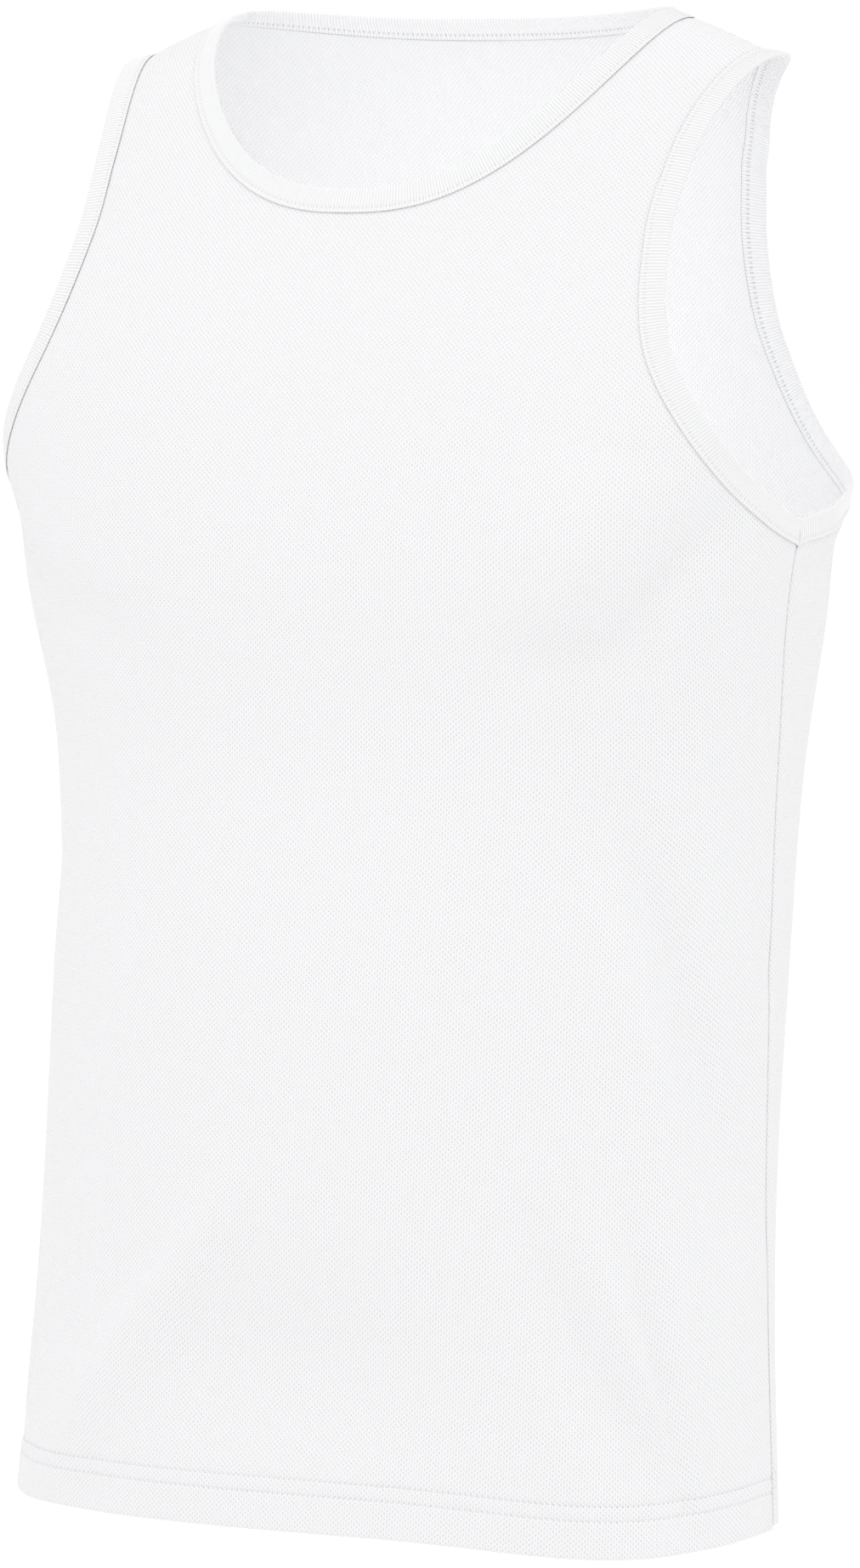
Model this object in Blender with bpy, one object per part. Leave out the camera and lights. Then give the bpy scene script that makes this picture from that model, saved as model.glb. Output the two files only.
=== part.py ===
"""A men's running singlet, filled out and hollow, as it sits on a wearer's shoulders.

Metres. +X is the wearer's left, -Y the front, +Z up. The origin lies midway between
the two straps, level with the middle of each strap where it crosses the shoulder.

Two knit panels, front and back, meet at the side seams and on top of the shoulders.
Three rings of rib bind the neck and the armholes. Every panel lies on one figure form,
which is a stack of sections up to the fullest height of the chest or the back, and a
quarter round from there to the ridge of the shoulders.
"""

from collections import namedtuple
from math import pi

import bmesh
import bpy
import numpy as np
from mathutils import Vector

# Cloth and seams
CLOTH = 0.0012  # wall of a panel
BAND_WALL = 0.0020  # wall of a binding, which is folded rib
BAND_WIDTH = 0.0125  # from its seam to its folded edge
SEAM_GAP = 0.0003
# Degrees that a binding stands out from the way the cloth runs, at even places from the
# centre line or the underarm to the shoulder
FLARES = {
    ("neck", "front"): (5.0, 5.0, 5.0, 3.0, 0.0),
    ("neck", "back"): (-4.0, -5.0, -6.0, -4.0, 0.0),
    ("armhole", "front"): (-10.0, -1.0, 8.0, 18.0, 14.0),
    ("armhole", "back"): (-10.0, -4.0, 16.0, 6.0, 14.0),
}

# Figure form: sections at heights below the shoulders
Section = namedtuple(
    "Section",
    "height half_width front_depth back_depth seam_y lean front_square back_square back_pinch",
)
SECTIONS = (
    Section(-0.710, 0.2015, 0.1400, 0.1045, -0.0010, -0.0040, 2.42, 2.05, 0.50),
    Section(-0.600, 0.1960, 0.1380, 0.1095, -0.0005, -0.0020, 2.20, 2.03, 0.44),
    Section(-0.450, 0.1930, 0.1345, 0.1170, 0.0035, -0.0005, 2.16, 2.09, 0.12),
    Section(-0.340, 0.1955, 0.1255, 0.1245, 0.0065, 0.0000, 2.18, 2.18, 0.00),
    Section(-0.250, 0.2100, 0.1180, 0.1310, -0.0035, -0.0010, 2.32, 2.54, -0.13),
    Section(-0.170, 0.2290, 0.1155, 0.1230, 0.0040, -0.0015, 2.40, 2.65, -0.15),
    Section(-0.080, 0.2280, 0.1130, 0.1015, 0.0240, -0.0015, 2.41, 2.52, 0.04),
    Section(0.030, 0.2080, 0.1090, 0.0880, 0.0325, 0.0000, 2.44, 2.45, 0.25),
)
FRONT_APEX = -0.267  # the front rolls back above this height
BACK_APEX = -0.224
RIDGE = 0.029  # height of the shoulder ridge at the centre line
SHOULDER_FALL = 0.0376  # how far the ridge falls from the centre to FALL_REACH
FALL_REACH = 0.170

# Cut of the panels
HEM = SECTIONS[0].height
HEM_SAG = namedtuple("Sag", "angle spread depth")(64.0, 22.5, 0.0080)  # at the left front
SAG_START = -0.450
UNDERARM = {"front": -0.2405, "back": -0.2410}  # rises that meet level at the side seam
NECK_HALF = 0.1315  # centre line to the neck seam, on the shoulder
SHOULDER_HALF = 0.171  # centre line to the armhole seam, on the shoulder
Neck = namedtuple("Neck", "drop squareness chest_rows")
NECKS = {"front": Neck(0.1157, 2.43, 6), "back": Neck(0.0315, 2.16, 10)}

# Armhole seams between the underarm and the shoulder: degrees round the body from the
# centre line, and height
ArmholeRow = namedtuple("ArmholeRow", "angle height")
ARMHOLES = {
    "front": (
        ArmholeRow(75.0, -0.2135),
        ArmholeRow(62.8, -0.152),
        ArmholeRow(59.3, -0.086),
        ArmholeRow(60.3, -0.041),
    ),
    "back": (
        ArmholeRow(57.4, -0.207),
        ArmholeRow(49.2, -0.149),
        ArmholeRow(55.7, -0.059),
        ArmholeRow(60.6, -0.030),
    ),
}
# Degrees by which the rows lie further out where the cloth hangs over on one side
HANG = {("back", -1.0): (0.0, 0.8, 3.8, 3.0)}

# Largest folds: degrees round the body from the centre front, + to the wearer's left and
# 180 at the centre back, and heights. A negative depth is a trough.
Fold = namedtuple("Fold", "from_angle from_height to_angle to_height half_width depth")
FOLDS = (
    Fold(76.0, -0.220, 62.0, -0.290, 0.017, -0.0050),  # drags from the left underarm
    Fold(65.0, -0.286, 45.0, -0.298, 0.017, -0.0045),
    Fold(61.0, -0.195, 55.0, -0.262, 0.032, 0.0080),  # fullness of the left chest
    Fold(62.0, -0.375, 82.0, -0.555, 0.023, -0.0090),  # long trough down the left side
    Fold(60.0, -0.410, 74.0, -0.525, 0.015, 0.0035),
    Fold(48.0, -0.565, 70.0, -0.705, 0.016, -0.0040),  # folds that run into the hem
    Fold(64.0, -0.540, 74.0, -0.715, 0.012, -0.0025),
    Fold(-55.0, -0.700, -8.0, -0.552, 0.019, 0.0065),  # slants across the belly
    Fold(-24.0, -0.628, 36.0, -0.640, 0.045, -0.0110),
    Fold(-66.0, -0.272, -38.0, -0.294, 0.017, -0.0035),
    Fold(-80.0, -0.215, -67.0, -0.278, 0.016, -0.0035),
    Fold(-70.0, -0.390, -84.0, -0.560, 0.018, -0.0045),
    Fold(102.0, -0.226, 126.0, -0.315, 0.019, -0.0050),  # the back, from its underarms
    Fold(-101.0, -0.228, -128.0, -0.305, 0.019, -0.0045),
    Fold(142.0, -0.330, 132.0, -0.600, 0.022, -0.0050),
    Fold(-146.0, -0.360, -130.0, -0.640, 0.022, -0.0045),
    Fold(172.0, -0.420, 160.0, -0.700, 0.024, -0.0045),
    Fold(-170.0, -0.300, -163.0, -0.480, 0.026, -0.0035),
    Fold(150.0, -0.500, 146.0, -0.720, 0.014, 0.0035),
    Fold(-148.0, -0.560, -152.0, -0.720, 0.015, 0.0035),
)

# Grid of a half panel: columns from the centre line to the side, rows from the hem up
COLUMNS = 12
SIDE_ROWS = 16  # below the underarm
ARMHOLE_ROWS = 16  # above it
ROW_SAG = 0.25  # rows near the underarm come up to it from below, at this slope
SAG_ROWS = 4.0
FOLD_END = 0.12  # a fold's depth at its ends follows a sine that starts this far in
CURVE_STEPS = 120  # points that a seam line is measured with
ANGLE_METRES = 0.2  # metres that one radian round the body stands for in a seam line

WELD = 0.00001
SHARP = 0.8  # radians between faces that shade as an edge

KNIT = ("body_knit", (0.86, 0.86, 0.87, 1.0), 0.85)
RIB = ("binding_rib", (0.90, 0.90, 0.91, 1.0), 0.80)

HEIGHTS = np.array([row.height for row in SECTIONS])


def smooth(places, values, wanted):
    """The values at the wanted places, on a smooth curve through those given."""
    steps = np.diff(places)
    slopes = np.diff(values) / steps
    middle = (slopes[:-1] * steps[1:] + slopes[1:] * steps[:-1]) / (steps[:-1] + steps[1:])
    tangents = np.concatenate((slopes[:1], middle, slopes[-1:]))
    first = np.clip(np.searchsorted(places, wanted) - 1, 0, len(steps) - 1)
    part = (wanted - places[first]) / steps[first]
    rest = 1.0 - part
    return (
        (1.0 + 2.0 * part) * rest**2 * values[first]
        + part * rest**2 * steps[first] * tangents[first]
        + (3.0 - 2.0 * part) * part**2 * values[first + 1]
        - rest * part**2 * steps[first] * tangents[first + 1]
    )


def column(name, height):
    """One column of SECTIONS at any height."""
    return smooth(HEIGHTS, np.array([getattr(row, name) for row in SECTIONS]), height)


def apex(face):
    return FRONT_APEX if face == "front" else BACK_APEX


def ridge_rise(face):
    return apex(face) + (RIDGE - apex(face)) * pi / 2.0


def rise_at(face, height):
    """Rise runs on evenly over the shoulder, where height alone would bunch up."""
    radius = RIDGE - apex(face)
    turn = np.arcsin(np.clip((height - apex(face)) / radius, 0.0, 1.0))
    return np.where(height < apex(face), height, apex(face) + radius * turn)


def roll(face, rise):
    """(height, share of the depth that is left) at a rise."""
    radius = RIDGE - apex(face)
    turn = np.maximum((rise - apex(face)) / radius, 0.0)
    height = np.where(turn > 0.0, apex(face) + radius * np.sin(turn), rise)
    return height, np.cos(turn)


def section(face, height):
    """(half width, depth, squareness) of one face's half of a section."""
    return (
        column("half_width", height),
        column(face + "_depth", height),
        column(face + "_square", height),
    )


def form_point(face, angle, rise):
    """A point on the figure form; angle runs from the centre line, + to the wearer's left."""
    height, left = roll(face, rise)
    half_width, depth, square = section(face, height)
    radius = (
        (np.abs(np.sin(angle)) / half_width) ** square
        + (np.abs(np.cos(angle)) / depth) ** square
    ) ** (-1.0 / square)
    side = -1.0 if face == "front" else 1.0
    pinch = column("back_pinch", height) * np.sin(angle) ** 4 if face == "back" else 0.0
    x = radius * np.sin(angle)
    y = column("seam_y", height) + side * radius * np.cos(angle) * left * (1.0 - pinch)
    fall = SHOULDER_FALL * (x / FALL_REACH) ** 2 * (1.0 - left**2)
    if face == "front":
        low = np.clip((SAG_START - height) / (SAG_START - HEM), 0.0, 1.0)
        off = (angle - np.radians(HEM_SAG.angle)) / np.radians(HEM_SAG.spread)
        fall = fall + HEM_SAG.depth * np.exp(-(off**2)) * low**2 * (3.0 - 2.0 * low)
    return np.stack((x + column("lean", height), y, height - fall), -1)


def form_normal(face, angle, rise, step=0.001):
    across = form_point(face, angle + step, rise) - form_point(face, angle - step, rise)
    up = form_point(face, angle, rise) - form_point(face, angle, rise - step)
    normal = np.cross(across, up) if face == "front" else np.cross(up, across)
    return normal / np.linalg.norm(normal, axis=-1, keepdims=True)


def angle_at(face, x, rise):
    """The angle at which the form is x from the centre line."""
    height, _ = roll(face, rise)
    half_width, depth, square = section(face, height)
    inner = depth * (1.0 - np.minimum(x / half_width, 1.0) ** square) ** (1.0 / square)
    return np.arctan2(x, inner)


def evenly(line, count):
    """A line of points, respaced to count equal steps."""
    steps = np.linalg.norm(np.diff(line, axis=0), axis=1)
    along = np.concatenate(((0.0,), np.cumsum(steps)))
    wanted = np.linspace(0.0, along[-1], count + 1)
    return np.stack([np.interp(wanted, along, values) for values in line.T], -1)


def seam_line(angle, rise, count):
    """A seam line on the form as count + 1 even (angle, rise) pairs."""
    even = evenly(np.stack((angle * ANGLE_METRES, rise), -1), count)
    return even / (ANGLE_METRES, 1.0)


def neck_line(face, count):
    """From the centre line up to the shoulder."""
    drop, squareness = NECKS[face].drop, NECKS[face].squareness
    turn = np.linspace(0.0, pi / 2.0, CURVE_STEPS)
    low, high = rise_at(face, RIDGE - drop), ridge_rise(face)
    x = NECK_HALF * np.sin(turn) ** (2.0 / squareness)
    rise = high - (high - low) * np.cos(turn) ** (2.0 / squareness)
    return seam_line(angle_at(face, x, rise), rise, count)


def armhole_line(face, side, count):
    """From the underarm up to the shoulder, through the rows of ARMHOLES."""
    top = float(ridge_rise(face))
    rows = [(pi / 2.0, UNDERARM[face])]
    hang = HANG.get((face, side), (0.0,) * len(ARMHOLES[face]))
    for row, out in zip(ARMHOLES[face], hang):
        rows.append((np.radians(row.angle + out), float(rise_at(face, row.height))))
    rows.append((float(angle_at(face, SHOULDER_HALF, top)), top))
    # A row past each end, so that the front's line runs on smoothly into the back's
    rows.insert(0, (pi - rows[1][0], rows[1][1]))
    rows.append((rows[-2][0], 2.0 * top - rows[-2][1]))
    knots = np.array(rows)
    gaps = np.linalg.norm(np.diff(knots * (ANGLE_METRES, 1.0), axis=0), axis=1)
    times = np.concatenate(((0.0,), np.cumsum(np.sqrt(gaps))))
    wanted = np.linspace(times[1], times[-2], CURVE_STEPS)
    angle, rise = (smooth(times, values, wanted) for values in knots.T)
    return seam_line(angle, rise, count)


def half_plan(face, hand):
    """(angle, rise) at each column and row of a half panel, on either hand of the body.

    Columns run from the centre line, and above its end from the neck seam, out to the
    side seam and the armhole. Rows run from the hem to the shoulder.
    """
    centre_rows = SIDE_ROWS + NECKS[face].chest_rows
    rows = SIDE_ROWS + ARMHOLE_ROWS
    neck = neck_line(face, rows - centre_rows)
    heights = np.linspace(HEM, neck[0, 1], centre_rows + 1)[:-1]
    centre = np.stack((np.zeros(centre_rows), heights), -1)
    heights = np.linspace(HEM, UNDERARM[face], SIDE_ROWS + 1)[:-1]
    side = np.stack((np.full(SIDE_ROWS, pi / 2.0), heights), -1)
    inner = np.vstack((centre, neck))
    outer = np.vstack((side, armhole_line(face, hand, ARMHOLE_ROWS)))
    share = np.linspace(0.0, 1.0, COLUMNS + 1)[:, None]
    plan = inner * (1.0 - share[..., None]) + outer * share[..., None]
    from_underarm = (np.arange(rows + 1) - SIDE_ROWS) / SAG_ROWS
    plan[..., 1] -= ROW_SAG * share**3 * (1.0 - share) * np.exp(-(from_underarm**2))
    return plan


def fold_line(face, fold):
    """A fold's ends as (metres round, height), measured from the centre line of one face."""
    angles = np.array((fold.from_angle, fold.to_angle))
    if face == "back":
        angles = np.copysign(180.0, angles.sum()) - angles
    return np.stack((np.radians(angles) * ANGLE_METRES, (fold.from_height, fold.to_height)), -1)


def fold_height(face, angle, rise):
    """How far the folds lift the cloth off the form, all round the body."""
    height, _ = roll(face, rise)
    here = np.stack((angle * ANGLE_METRES, height), -1)
    lift = np.zeros(np.shape(angle))
    for fold in FOLDS:
        start, end = fold_line(face, fold)
        run = end - start
        along = np.clip((here - start) @ run / (run @ run), 0.0, 1.0)
        off = np.linalg.norm(here - start - along[..., None] * run, axis=-1)
        fade = np.sin(pi * (FOLD_END + (1.0 - 2.0 * FOLD_END) * along))
        lift += fold.depth * fade * np.exp(-((off / fold.half_width) ** 2))
    return lift


def cloth_point(face, angle, rise):
    """A point of the cloth's outer surface, folds and all."""
    lift = fold_height(face, angle, rise)[..., None]
    return form_point(face, angle, rise) + form_normal(face, angle, rise) * lift


def finish(name, color, roughness):
    material = bpy.data.materials.get(name) or bpy.data.materials.new(name)
    material.use_nodes = True
    shader = material.node_tree.nodes["Principled BSDF"]
    shader.inputs["Base Color"].default_value = color
    shader.inputs["Roughness"].default_value = roughness
    shader.inputs["Metallic"].default_value = 0.0
    return material


def sew_piece(name, grids, wall, look):
    """A closed piece with one wall under its outer face.

    Each grid is (points, normals), both as [column][row]. The wall goes in along the
    normals given, so that the edges of two pieces stay parallel along their seam. Grids
    join where their edges meet, and so does a grid that ends where it starts.
    """
    sheet = bmesh.new()
    inward = sheet.verts.layers.float_vector.new("inward")
    for points, normals in grids:
        columns, rows = points.shape[0] - 1, points.shape[1] - 1
        grid = bmesh.ops.create_grid(sheet, x_segments=columns, y_segments=rows, size=1.0)
        for vert in grid["verts"]:
            across = round((vert.co.x + 1.0) / 2.0 * columns)
            up = round((vert.co.y + 1.0) / 2.0 * rows)
            vert.co = Vector(points[across, up])
            vert[inward] = Vector(normals[across, up]) * -wall
    bmesh.ops.remove_doubles(sheet, verts=sheet.verts, dist=WELD)
    lining = bmesh.ops.extrude_face_region(sheet, geom=sheet.faces[:], use_keep_orig=True)
    for vert in lining["geom"]:
        if isinstance(vert, bmesh.types.BMVert):
            vert.co += vert[inward]
    bmesh.ops.recalc_face_normals(sheet, faces=sheet.faces)
    sheet.verts.layers.float_vector.remove(inward)
    mesh = bpy.data.meshes.new(name)
    sheet.to_mesh(mesh)
    sheet.free()
    mesh.set_sharp_from_angle(angle=SHARP)
    mesh.materials.append(finish(*look))
    piece = bpy.data.objects.new(name, mesh)
    garment.objects.link(piece)
    return piece


def sew_panel(face):
    """The panel stands half a seam's gap off the plane where the two faces meet."""
    off = (0.0, SEAM_GAP / 2.0 * (-1.0 if face == "front" else 1.0), 0.0)
    halves = []
    for side in (-1.0, 1.0):
        plan = half_plan(face, side)
        angle, rise = plan[..., 0] * side, plan[..., 1]
        grid = np.stack((cloth_point(face, angle, rise) + off, form_normal(face, angle, rise)))
        halves.append(grid[:, ::-1] if side < 0.0 else grid)
    return sew_piece(face + "_panel", halves, CLOTH, KNIT)


def edge_run(opening, face, line, side):
    """(points, normals, flares) of the cloth along a seam line on one side of the body."""
    angle, rise = line[:, 0] * side, line[:, 1]
    flares = np.array(FLARES[opening, face])
    places = np.linspace(0.0, len(flares) - 1.0, len(line))
    degrees = smooth(np.arange(len(flares)), flares, places)
    points = cloth_point(face, angle, rise)
    return points, form_normal(face, angle, rise), np.radians(degrees)[:, None]


def sew_binding(name, runs):
    """A ring of rib on the edge that the runs make, with the cloth on the right hand."""
    points, normals, flares = (
        np.concatenate([part[:-1] for part in parts]) for parts in zip(*runs)
    )
    ahead = np.roll(points, -1, axis=0) - np.roll(points, 1, axis=0)
    away = np.cross(normals, ahead)
    away /= np.linalg.norm(away, axis=1, keepdims=True)
    sewn = points + normals * (BAND_WALL - CLOTH) / 2.0 + away * SEAM_GAP
    folded = sewn + (away * np.cos(flares) + normals * np.sin(flares)) * BAND_WIDTH
    fold_normals = normals * np.cos(flares) - away * np.sin(flares)
    ring = np.stack((np.stack((sewn, folded), 1), np.stack((normals, fold_normals), 1)))
    return sew_piece(name, [np.concatenate((ring, ring[:, :1]), 1)], BAND_WALL, RIB)


def backwards(run):
    return tuple(part[::-1] for part in run)


def sew_neck_binding():
    """Round the neck from the centre front over the wearer's left shoulder."""
    lines = {face: neck_line(face, ARMHOLE_ROWS - NECKS[face].chest_rows) for face in NECKS}
    runs = (
        edge_run("neck", "front", lines["front"], 1.0),
        backwards(edge_run("neck", "back", lines["back"], 1.0)),
        edge_run("neck", "back", lines["back"], -1.0),
        backwards(edge_run("neck", "front", lines["front"], -1.0)),
    )
    return sew_binding("neck_binding", runs)


def sew_armhole_binding(side_name, side):
    """Round one armhole from the underarm, up the hand that keeps the cloth on the right."""
    lines = {face: armhole_line(face, side, ARMHOLE_ROWS) for face in ARMHOLES}
    up_face, down_face = ("back", "front") if side > 0.0 else ("front", "back")
    runs = (
        edge_run("armhole", up_face, lines[up_face], side),
        backwards(edge_run("armhole", down_face, lines[down_face], side)),
    )
    return sew_binding("armhole_binding_" + side_name, runs)


for old in list(bpy.data.objects):
    bpy.data.objects.remove(old, do_unlink=True)
garment = bpy.data.collections.new("running_singlet")
bpy.context.scene.collection.children.link(garment)

sew_panel("front")
sew_panel("back")
sew_neck_binding()
sew_armhole_binding("left", 1.0)
sew_armhole_binding("right", -1.0)
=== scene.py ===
"""A men's running singlet in pale bird-eye knit, bound with rib, filled out and hollow.

Metres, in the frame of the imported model: +X is the wearer's left, -Y the front, +Z up,
with the origin between the straps. The two panels are thin shells on the figure form of
their solids, with finer creases. Each binding is a strip of rib folded over the panel's
edge. Stitches lie along the hem and the bindings.
"""

from collections import namedtuple
from math import cos, pi, radians, sin

import bmesh
import bpy
import numpy as np
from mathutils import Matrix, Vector


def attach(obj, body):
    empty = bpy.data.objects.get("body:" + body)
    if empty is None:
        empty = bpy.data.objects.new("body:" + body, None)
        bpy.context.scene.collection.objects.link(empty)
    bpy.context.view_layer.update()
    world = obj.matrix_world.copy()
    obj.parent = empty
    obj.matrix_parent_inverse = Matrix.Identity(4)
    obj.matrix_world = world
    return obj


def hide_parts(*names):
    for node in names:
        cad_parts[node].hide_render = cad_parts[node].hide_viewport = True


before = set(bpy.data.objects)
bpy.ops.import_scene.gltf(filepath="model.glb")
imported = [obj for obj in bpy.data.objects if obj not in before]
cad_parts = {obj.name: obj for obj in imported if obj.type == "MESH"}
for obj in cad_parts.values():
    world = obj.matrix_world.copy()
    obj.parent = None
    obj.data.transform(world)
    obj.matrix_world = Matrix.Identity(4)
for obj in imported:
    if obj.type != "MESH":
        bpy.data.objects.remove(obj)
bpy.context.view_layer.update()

MM = 0.001

# ---------------- figure form and cut

Section = namedtuple(
    "Section",
    "height half_width front_depth back_depth seam_y lean front_square back_square back_pinch",
)
SECTIONS = (
    Section(-0.710, 0.2015, 0.1400, 0.1045, -0.0010, -0.0040, 2.42, 2.05, 0.50),
    Section(-0.600, 0.1960, 0.1380, 0.1095, -0.0005, -0.0020, 2.20, 2.03, 0.44),
    Section(-0.450, 0.1930, 0.1345, 0.1170, 0.0035, -0.0005, 2.16, 2.09, 0.12),
    Section(-0.340, 0.1955, 0.1255, 0.1245, 0.0065, 0.0000, 2.18, 2.18, 0.00),
    Section(-0.250, 0.2100, 0.1180, 0.1310, -0.0035, -0.0010, 2.32, 2.54, -0.13),
    Section(-0.170, 0.2290, 0.1155, 0.1230, 0.0040, -0.0015, 2.40, 2.65, -0.15),
    Section(-0.080, 0.2280, 0.1130, 0.1015, 0.0240, -0.0015, 2.41, 2.52, 0.04),
    Section(0.030, 0.2080, 0.1090, 0.0880, 0.0325, 0.0000, 2.44, 2.45, 0.25),
)
HEIGHTS = np.array([row.height for row in SECTIONS])
APEX = {"front": -0.267, "back": -0.224}  # a face rolls back above this height
RIDGE = 0.029  # height of the shoulder ridge at the centre line
SHOULDER_FALL = 0.0376
FALL_REACH = 0.170

HEM = SECTIONS[0].height
HEM_SAG = namedtuple("Sag", "angle spread depth")(64.0, 22.5, 0.0080)  # at the left front
SAG_START = -0.450
UNDERARM = {"front": -0.2405, "back": -0.2410}
NECK_HALF = 0.1315
SHOULDER_HALF = 0.171
Neck = namedtuple("Neck", "drop squareness chest_rows")
NECKS = {"front": Neck(0.1157, 2.43, 6), "back": Neck(0.0315, 2.16, 10)}
ARMHOLES = {  # degrees from the centre line, and height
    "front": ((75.0, -0.2135), (62.8, -0.152), (59.3, -0.086), (60.3, -0.041)),
    "back": ((57.4, -0.207), (49.2, -0.149), (55.7, -0.059), (60.6, -0.030)),
}
# Degrees by which the rows lie further out, or in, on one side of the body
HANG = {("back", 1.0): (0.0, 0.0, 0.0, -1.0), ("back", -1.0): (0.0, 0.8, 3.8, 3.0)}
SIDE_ROWS = 16  # rows of the cut below the underarm
ARMHOLE_ROWS = 16  # and above it
ROW_SAG = 0.25  # how far rows near the underarm hang
SAG_ROWS = 4.0  # and how many do
ANGLE_METRES = 0.2  # metres that one radian round the body stands for in a seam line
CURVE_STEPS = 400

# Degrees round the body from the centre front, + to the wearer's left and 180 at the
# centre back, and heights. A negative depth is a trough.
Fold = namedtuple("Fold", "from_angle from_height to_angle to_height half_width depth")
FOLDS = (
    Fold(76.0, -0.220, 62.0, -0.290, 0.017, -0.0050),  # drags from the left underarm
    Fold(65.0, -0.286, 45.0, -0.298, 0.017, -0.0045),
    Fold(61.0, -0.195, 55.0, -0.262, 0.032, 0.0080),  # fullness of the left chest
    Fold(62.0, -0.375, 82.0, -0.555, 0.023, -0.0090),  # long trough down the left side
    Fold(60.0, -0.410, 74.0, -0.525, 0.015, 0.0035),
    Fold(48.0, -0.565, 70.0, -0.705, 0.016, -0.0040),  # folds that run into the hem
    Fold(64.0, -0.540, 74.0, -0.715, 0.012, -0.0025),
    Fold(-55.0, -0.700, -8.0, -0.552, 0.019, 0.0065),  # slants across the belly
    Fold(-24.0, -0.628, 36.0, -0.640, 0.045, -0.0110),
    Fold(-66.0, -0.272, -38.0, -0.294, 0.017, -0.0035),
    Fold(-80.0, -0.215, -67.0, -0.278, 0.016, -0.0035),
    Fold(-70.0, -0.390, -84.0, -0.560, 0.018, -0.0045),
    Fold(102.0, -0.226, 126.0, -0.315, 0.019, -0.0050),  # the back, from its underarms
    Fold(-101.0, -0.228, -128.0, -0.305, 0.019, -0.0045),
    Fold(142.0, -0.330, 132.0, -0.600, 0.022, -0.0050),
    Fold(-146.0, -0.360, -130.0, -0.640, 0.022, -0.0045),
    Fold(172.0, -0.420, 160.0, -0.700, 0.024, -0.0045),
    Fold(-170.0, -0.300, -163.0, -0.480, 0.026, -0.0035),
    Fold(150.0, -0.500, 146.0, -0.720, 0.014, 0.0035),
    Fold(-148.0, -0.560, -152.0, -0.720, 0.015, 0.0035),
)
# Small creases that the solids leave out
CREASES = (
    Fold(76.0, -0.222, 62.0, -0.288, 0.008, -0.0022),  # crisp foot of the left chest
    Fold(64.0, -0.286, 51.0, -0.296, 0.008, -0.0018),
    Fold(60.0, -0.232, 56.0, -0.286, 0.016, 0.0045),  # its fullness, down to the foot
    Fold(64.0, -0.385, 74.0, -0.450, 0.008, -0.0016),
    Fold(76.0, -0.440, 84.0, -0.530, 0.007, 0.0014),
    Fold(86.0, -0.405, 90.0, -0.455, 0.005, -0.0014),  # pucker on the left side seam
    Fold(50.0, -0.560, 71.0, -0.690, 0.008, -0.0022),  # rays that meet at the left hem
    Fold(57.0, -0.560, 72.0, -0.680, 0.007, 0.0022),
    Fold(63.0, -0.545, 72.5, -0.685, 0.006, -0.0020),
    Fold(69.0, -0.560, 75.0, -0.690, 0.006, 0.0018),
    Fold(74.0, -0.600, 78.0, -0.700, 0.006, -0.0016),
    Fold(-44.0, -0.650, -22.0, -0.585, 0.007, 0.0018),  # crest of the slant fold
    Fold(70.0, -0.655, 74.0, -0.722, 0.007, -0.0012),  # waves above the hem
    Fold(30.0, -0.668, 26.0, -0.722, 0.008, -0.0010),
    Fold(-6.0, -0.676, -8.0, -0.722, 0.009, 0.0009),
    Fold(-38.0, -0.660, -42.0, -0.722, 0.008, -0.0010),
    Fold(69.0, -0.716, 77.0, -0.722, 0.005, -0.0018),  # nick in the hem
    Fold(-76.0, -0.430, -84.0, -0.520, 0.008, -0.0016),  # the right side and the back
    Fold(-58.0, -0.600, -70.0, -0.690, 0.008, -0.0018),
    Fold(106.0, -0.245, 124.0, -0.308, 0.009, -0.0018),
    Fold(-106.0, -0.240, -126.0, -0.300, 0.009, -0.0018),
    Fold(136.0, -0.560, 118.0, -0.690, 0.008, -0.0020),
    Fold(128.0, -0.570, 114.0, -0.690, 0.007, 0.0016),
    Fold(-138.0, -0.580, -120.0, -0.690, 0.008, -0.0020),
    Fold(168.0, -0.560, 158.0, -0.660, 0.010, 0.0018),
    Fold(-164.0, -0.600, -150.0, -0.690, 0.009, 0.0018),
)
FOLD_END = 0.12  # how soon a fold fades towards its ends

# ---------------- sewing sizes

CLOTH = 0.7 * MM
HEM_DEPTH = 25.0 * MM
HEM_WALL = 1.6 * MM  # two layers and the fold between them
HEM_ROLL = 1.2 * MM  # height of the rounded lower edge
HEM_ROWS = (18.0 * MM, 25.0 * MM)  # stitch rows above the lower edge
HEM_FADE = (0.5 * MM, 1.5 * MM)  # where its wall starts to thin, and over what reach
HEM_STITCH = 2.8 * MM
HEM_GROOVE = (0.45 * MM, 0.9 * MM)  # depth and half width under a stitch row
HEM_HOLE_SHADE = 0.9  # how dark the shade painted in its needle holes is
HEM_HOLE_REACH = (0.75 * MM, 0.2 * MM)  # where a hole ends and where it is full
PUCKERS = (  # pitch, depth and phase
    (7.3 * MM, 0.10 * MM, 0.4),
    (11.9 * MM, 0.14 * MM, 1.9),
    (23.0 * MM, 0.22 * MM, 4.2),
)
PUCKER_REACH = 9.0 * MM

TUCK = 2.0 * MM  # how far a panel runs on inside its bindings
EDGE_DIP = 0.30 * MM  # how far its edge sinks there
EDGE_FADE = 3.0 * MM
SEAM_DIP = 0.65 * MM  # side and shoulder seams
SEAM_REACH = 1.3 * MM
UNDERARM_NOTCH = (2.5 * MM, 6.0 * MM)  # depth and reach of the point over the side seam

BAND_WIDTH = 12.5 * MM
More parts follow.
